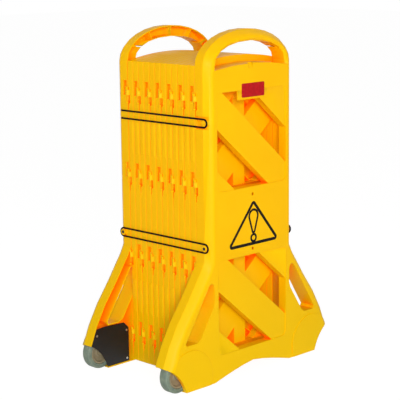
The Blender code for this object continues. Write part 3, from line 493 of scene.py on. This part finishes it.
def upperCordRoute():
    # from one hole in the far panel's side, along the stack, round the hook and back
    c = cords
    side, holeY, hookY = -c["sideways"], c["faceY"] - c["holeBack"], c["hookBack"] - c["faceY"]
    turn = np.linspace(0, math.pi / 2, 7)
    bendX = side + c["bend"] * (1 - np.cos(turn))
    bendY = holeY - c["bend"] * (1 - np.sin(turn))
    inside = c["tail"] - c["halfWidth"]
    legs = []
    for sign in (1, -1):
        height = c["upperHeight"] + sign * c["upperSpread"]
        leg = np.stack([bendX, bendY, np.full(7, height)], 1)
        legs.append(np.concatenate([leg, [[inside, holeY, height]]]))
    hook = arcPoints((hookY, c["upperHeight"]), c["upperSpread"], math.pi / 2, math.pi, 25)
    hook = np.column_stack([np.full(25, side), hook])
    return np.concatenate([legs[0][::-1], hook, legs[1]])


def lowerCordRoute():
    # once round the near panel's boss and the far panel's peg, almost closed
    c = cords
    near, far = c["bossBack"] - c["faceY"], c["faceY"] - c["pegBack"]
    quarter = math.pi / 2
    loop = np.concatenate([
        arcPoints((near, c["lowerHeight"]), c["lowerSpread"], quarter, math.pi, 25),
        arcPoints((far, c["lowerHeight"]), c["lowerSpread"], -quarter, math.pi, 25),
    ])
    loop = np.concatenate([loop, loop[:1]])
    return np.column_stack([np.full(len(loop), -c["sideways"]), loop])


def tubePiece(name, route, closed, material):
    # a circle carried along the route, held upright to it by the least turning
    radius, sides = cords["radius"], cords["sides"]
    ahead = np.roll(route, -1, 0) - route
    behind = route - np.roll(route, 1, 0)
    if not closed:
        ahead[-1], behind[0] = behind[-1], ahead[0]
    tangent = unit(unit(ahead) + unit(behind))
    normal = np.empty_like(route)
    normal[0] = unit(np.cross(tangent[0], (0.0, 0.0, 1.0)) + (0.0, 1e-9, 0.0))
    for i in range(1, len(route)):
        carried = normal[i - 1] - tangent[i] * (normal[i - 1] @ tangent[i])
        normal[i] = carried / np.linalg.norm(carried)
    across = np.cross(tangent, normal)
    angle = np.linspace(0, 2 * math.pi, sides, endpoint=False)[None, :, None]
    ring = np.cos(angle) * normal[:, None] + np.sin(angle) * across[:, None]
    points = route[:, None] + radius * ring
    faces = gridFaces(len(route), sides, closed, True)
    if not closed:
        last = (len(route) - 1) * sides
        faces += [list(range(sides))[::-1], [last + i for i in range(sides)]]
    piece = meshPiece(name, points, faces, material)
    steps = np.linalg.norm(np.diff(np.concatenate([route, route[:1]]), axis=0), axis=1)
    along = np.concatenate([[0], np.cumsum(steps)]) / cords["yarnPitch"]
    around = np.linspace(0, cords["yarns"], sides + 1)
    corners = np.empty((len(faces), 4, 2))
    rows, columns = len(route) if closed else len(route) - 1, sides
    row, column = np.divmod(np.arange(rows * columns), columns)
    for corner, (down, beside) in enumerate(((0, 0), (0, 1), (1, 1), (1, 0))):
        corners[:rows * columns, corner] = np.stack(
            [around[column + beside], along[row + down]], 1)
    uv = piece.data.uv_layers.new(name="braid")
    flat = np.zeros((len(piece.data.loops), 2))
    flat[:rows * columns * 4] = corners[:rows * columns].reshape(-1, 2)
    uv.data.foreach_set("uv", flat.ravel())
    turnOutward(piece)
    smooth(piece, 40)
    return piece


def addCords():
    upper, lower = spacedLine(upperCordRoute(), 0.006), spacedLine(lowerCordRoute(), 0.006)[:-1]
    half = np.array([-1.0, -1.0, 1.0])
    holeY, bossY = cords["faceY"] - cords["holeBack"], cords["faceY"] - cords["bossBack"]
    for name, node, route, closed, turned, body, anchorY in (
        ("upperCordLeft", "cord_upper_left", upper, False, False, "rear_end", holeY),
        ("upperCordRight", "cord_upper_right", upper, False, True, "front_end", -holeY),
        ("lowerCordLeft", "cord_lower_left", lower, True, False, "front_end", -bossY),
        ("lowerCordRight", "cord_lower_right", lower, True, True, "rear_end", bossY),
    ):
        line = route * half if turned else route
        piece = tubePiece(name, line, closed, elastic)
        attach(piece, body)
        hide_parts(node)
        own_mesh(piece)
    print("cords laid")


addCords()


# Wheels

wheel = {
    "x": -0.297, "z": 0.0514, "ends": {"rear": 0.168, "front": -0.168},
    "radius": 0.0508, "halfWidth": 0.015, "shoulder": 0.0055, "bore": 0.0368,
    "sides": 96, "hubHalf": 0.013, "webHalf": 0.004, "rim": 0.0295, "boss": 0.010,
    "axleBore": 0.0043,
}


def tyreProfile():
    # tread with rounded shoulders, a shallow groove in each side, and a lip at the hub
    w = wheel
    outer, half, round_ = w["radius"], w["halfWidth"], w["shoulder"]
    side = np.concatenate([
        cornerArc((half - round_, outer - round_), round_, 88, 8, 7),
        [(half, outer - round_ - 0.0012), (half - 0.0006, outer - round_ - 0.0018),
         (half - 0.0006, outer - round_ - 0.0028), (half, outer - round_ - 0.0034),
         (half, w["bore"] + 0.0016), (half - 0.0008, w["bore"] + 0.0003),
         (half - 0.0022, w["bore"])],
    ])
    return np.concatenate([side * (-1, 1), side[::-1]])[::-1]


def hubProfile():
    # a dished web between a rim lip and the boss, with small radii at each step
    w = wheel
    half, web, rim, boss = w["hubHalf"], w["webHalf"], w["rim"], w["boss"]
    outer = w["bore"] - 0.0003
    side = np.concatenate([
        [(w["halfWidth"], w["axleBore"]), (w["halfWidth"], boss - 0.001)],
        cornerArc((w["halfWidth"] - 0.001, boss - 0.001), 0.001, 0, 80, 4),
        [(web + 0.002, boss + 0.0012), (web + 0.0004, boss + 0.0035), (web, boss + 0.006),
         (web, rim - 0.002), (web + 0.0006, rim - 0.0006), (web + 0.002, rim)],
        [(half - 0.0012, rim + 0.0012), (half - 0.0002, rim + 0.002), (half, rim + 0.0034)],
        [(half, outer - 0.001), (half - 0.001, outer)],
    ])
    return np.concatenate([side * (-1, 1), side[::-1]])


def addWheels():
    for end, y in wheel["ends"].items():
        centre = (wheel["x"], y, wheel["z"])
        for part, profile, finish, slot in (
            ("tyre", tyreProfile(), rubber, "grey_rubber"),
            ("hub", hubProfile(), nylon, "beige_nylon"),
        ):
            piece = turnedPiece(f"{end}Wheel_{part}", profile, wheel["sides"], centre, finish)
            smooth(piece, 30)
            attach(piece, f"wheel_{end}")
            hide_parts(f"{part}_{end}")
    print("wheels turned")


addWheels()


# Printed figure and plain label on both end faces

prints = {
    "face": 0.195, "thickness": 0.00012, "centreX": 0.003,
    "triangle": ((-0.099, 0.392), (0.099, 0.392), (0.0, 0.512)), "triangleRound": 0.005,
    "cornerShare": 0.93,
    "triangleStroke": 0.0092, "bar": ((0.0, 0.472), (0.0, 0.4275)),
    "barRounds": (0.0185, 0.005), "dot": (0.0, 0.4065), "dotRound": 0.0105, "stroke": 0.0070,
    "label": (-0.048, 0.048, 0.822, 0.8625), "labelRound": 0.004, "labelThickness": 0.0003,
    "labelSeat": 0.0008,
}


def beltRoute(centres, rounds, steps):
    # the line of a belt pulled round several circles, listed anticlockwise
    centres, rounds = np.array(centres, float), np.array(rounds, float)
    apart = np.roll(centres, -1, 0) - centres
    length = np.linalg.norm(apart, axis=1)
    heading = np.arctan2(apart[:, 1], apart[:, 0])
    lean = np.arcsin((rounds - np.roll(rounds, -1)) / length)
    leave = heading - math.pi / 2 + lean
    arrive = np.roll(leave, 1)
    sweep = np.mod(leave - arrive, 2 * math.pi)
    angle = arrive[:, None] + sweep[:, None] * np.linspace(0, 1, steps)
    arcs = np.stack([np.cos(angle), np.sin(angle)], -1) * rounds[:, None, None]
    return (centres[:, None] + arcs).reshape(-1, 2)


def strokePiece(name, routes, widths, surfaceY, outward, material):
    # flat strokes of ink: a thin rectangle carried round each closed route in X and Z
    allPoints, allFaces, start = [], [], 0
    lift = prints["thickness"]
    for route, width in zip(routes, widths):
        tangent = unit(np.roll(route, -1, 0) - np.roll(route, 1, 0))
        side = np.stack([tangent[:, 1], -tangent[:, 0]], 1) * width / 2
        inner, outer = route - side, route + side
        depth = np.full(len(route), surfaceY - outward * lift)
        top = np.full(len(route), surfaceY + outward * lift)
        ring = np.stack([
            np.column_stack([inner[:, 0], depth, inner[:, 1]]),
            np.column_stack([outer[:, 0], depth, outer[:, 1]]),
            np.column_stack([outer[:, 0], top, outer[:, 1]]),
            np.column_stack([inner[:, 0], top, inner[:, 1]]),
        ], axis=1)
        allPoints.append(ring.reshape(-1, 3))
        allFaces += gridFaces(len(route), 4, True, True, start)
        start += 4 * len(route)
    piece = meshPiece(name, np.concatenate(allPoints), allFaces, material)
    turnOutward(piece)
    return piece


def platePiece(name, outline, low, high, material):
    # an outline in X and Z given thickness along Y
    count = len(outline)
    rings = np.stack([
        np.column_stack([outline[:, 0], np.full(count, y), outline[:, 1]]) for y in (low, high)])
    faces = gridFaces(2, count, False, True)
    faces += [list(range(count))[::-1], list(range(count, 2 * count))]
    piece = meshPiece(name, rings, faces, material)
    turnOutward(piece)
    return piece


def addPrints():
    p = prints
    triangle = np.array(p["triangle"])
    middle = triangle.mean(0)
    corners = middle + (triangle - middle) * p["cornerShare"]
    routes = [
        beltRoute(corners, [p["triangleRound"]] * 3, 9),
        beltRoute(p["bar"][::-1], p["barRounds"][::-1], 17),
        beltRoute([p["dot"], p["dot"] + np.array([1e-6, 0.0])], [p["dotRound"]] * 2, 17),
    ]
    for end, sign in (("front", -1), ("rear", 1)):
        # seen from outside, the figure is shifted the same way on both ends
        shift = np.array([-sign * p["centreX"], 0.0])
        piece = strokePiece(
            f"{end}PrintedFigure", [route * (-sign, 1) + shift for route in routes],
            (p["triangleStroke"], p["stroke"], p["stroke"]), sign * p["face"], sign, ink)
        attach(piece, f"{end}_end")
        x0, x1, z0, z1 = p["label"]
        r = p["labelRound"]
        outline = beltRoute(
            [(x0 + r, z0 + r), (x1 - r, z0 + r), (x1 - r, z1 - r), (x0 + r, z1 - r)], [r] * 4, 6)
        label = platePiece(
            f"{end}PlainLabel", outline * (-sign, 1) + shift, sign * (p["face"] - p["labelSeat"]),
            sign * (p["face"] + p["labelThickness"]), redFilm)
        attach(label, f"{end}_end")
    print("figure and label laid on")


addPrints()


# Moulded panels: the inner ones' solids with rounded edges, the end ones' shaded smooth

moulding = {
    "halfWidth": 0.180, "halfThick": 0.0111, "shoulder": 0.920, "topRise": 0.020,
    "topCuts": 6, "cornerRadius": 0.0015, "cornerSteps": 3, "shortest": 0.012,
    "knuckleRadius": 0.0013, "knuckleSteps": 2, "knuckleStandOff": 4e-4,
    "sharpDegrees": 36.0, "flatWeight": 80, "faceSlack": 5e-4, "sideSlack": 5e-5,
    "heightSlack": 1e-4,
}


def closedShape(node):
    # a solid's surface as one mesh: its corners merged and its flat faces rejoined
    shape = bmesh.new()
    shape.from_mesh(node.data)
    bmesh.ops.remove_doubles(shape, verts=shape.verts, dist=1e-5)
    bmesh.ops.dissolve_limit(
        shape, angle_limit=math.radians(0.1), verts=shape.verts, edges=shape.edges)
    return shape


def edgePlaces(shape):
    # the two ends of every edge, as one array
    return np.array([[vertex.co[:] for vertex in edge.verts] for edge in shape.edges])


def chosenEdges(shape, picked):
    shape.edges.ensure_lookup_table()
    return [shape.edges[i] for i in np.flatnonzero(picked)]


def roundTop(shape):
    # the two long top edges cut finer, and their points lifted onto
    # height = shoulder + rise * (1 - (x / half width) ** 2)
    m = moulding
    ends = edgePlaces(shape)
    high = (ends[..., 2] > m["shoulder"] - m["heightSlack"]).all(1)
    long = high & (np.ptp(ends[..., 0], axis=1) > 0.05)
    made = bmesh.ops.subdivide_edges(
        shape, edges=chosenEdges(shape, long), cuts=m["topCuts"], use_grid_fill=True)
    for part in made["geom_inner"]:
        if isinstance(part, bmesh.types.BMVert):
            share = part.co.x / m["halfWidth"]
            part.co.z = m["shoulder"] + m["topRise"] * (1 - share ** 2)


def bevelEdges(shape, picked, radius, steps):
    bmesh.ops.bevel(
        shape, geom=chosenEdges(shape, picked), offset=radius, offset_type="OFFSET",
        segments=steps, profile=0.5, affect="EDGES", clamp_overlap=False)


def softInnerPanel(shape, middle):
    # rounds the long corners, the top edges and the upright edges of the knuckles
    m = moulding
    roundTop(shape)
    ends = edgePlaces(shape)
    x, y, z = np.moveaxis(ends, -1, 0)
    length = np.linalg.norm(ends[:, 1] - ends[:, 0], axis=1)
    face = (abs(abs(y - middle) - m["halfThick"]) < m["faceSlack"]).all(1)
    side = (abs(abs(x) - m["halfWidth"]) < m["sideSlack"]).all(1)
    top = (z > m["shoulder"] - m["heightSlack"]).all(1)
    picked = (face & side & (length > m["shortest"])) | (face & top)
    bevelEdges(shape, picked, m["cornerRadius"], m["cornerSteps"])
    ends = edgePlaces(shape)
    knuckle = (abs(ends[..., 0]) > m["halfWidth"] + m["knuckleStandOff"]).all(1) & (
        np.ptp(ends[..., 2], axis=1) > 0.003) & (np.ptp(ends[..., 0], axis=1) < 1e-4)
    bevelEdges(shape, knuckle, m["knuckleRadius"], m["knuckleSteps"])


def softCopy(name, node, body, shape, curved):
    mesh = bpy.data.meshes.new(name)
    shape.to_mesh(mesh)
    shape.free()
    mesh.materials.append(yellow)
    piece = bpy.data.objects.new(name, mesh)
    bpy.context.scene.collection.objects.link(piece)
    if curved:
        smooth(piece, moulding["sharpDegrees"])
        flat = piece.modifiers.new("flatFacesStayFlat", "WEIGHTED_NORMAL")
        flat.keep_sharp, flat.weight = True, moulding["flatWeight"]
    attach(piece, body)
    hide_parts(node)


def addMouldings():
    for first in (1, 2):
        # the odd panels are all alike, and so are the even ones
        low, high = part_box(f"panel_{first:02d}")
        model = closedShape(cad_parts[f"panel_{first:02d}"])
        softInnerPanel(model, (low[1] + high[1]) / 2)
        for number in range(first, 13, 2):
            node = f"panel_{number:02d}"
            shape = model.copy()
            shift = Vector((0.0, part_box(node)[0][1] - low[1], 0.0))
            bmesh.ops.translate(shape, verts=shape.verts, vec=shift)
            softCopy(f"innerPanel{number:02d}", node, f"{node}_body", shape, False)
        model.free()
    for end in ("rear", "front"):
        node = f"{end}_end_panel"
        shape = closedShape(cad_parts[node])
        softCopy(f"{end}EndPanel", node, f"{end}_end", shape, True)
    print("panels moulded")


addMouldings()


# Finishes of the solids that stay

def dressSolids():
    finishes = {
        "wheel_cover": blackAbs, "axle": zincSteel, "cover_screw": zincSteel,
        "cord_screw": blackSteel,
    }
    for name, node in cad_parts.items():
        finish = next((m for key, m in finishes.items() if key in name), None)
        if finish is None or node.hide_render:
            continue
        node.data.materials.clear()
        node.data.materials.append(finish)
    print("solids dressed")


dressSolids()
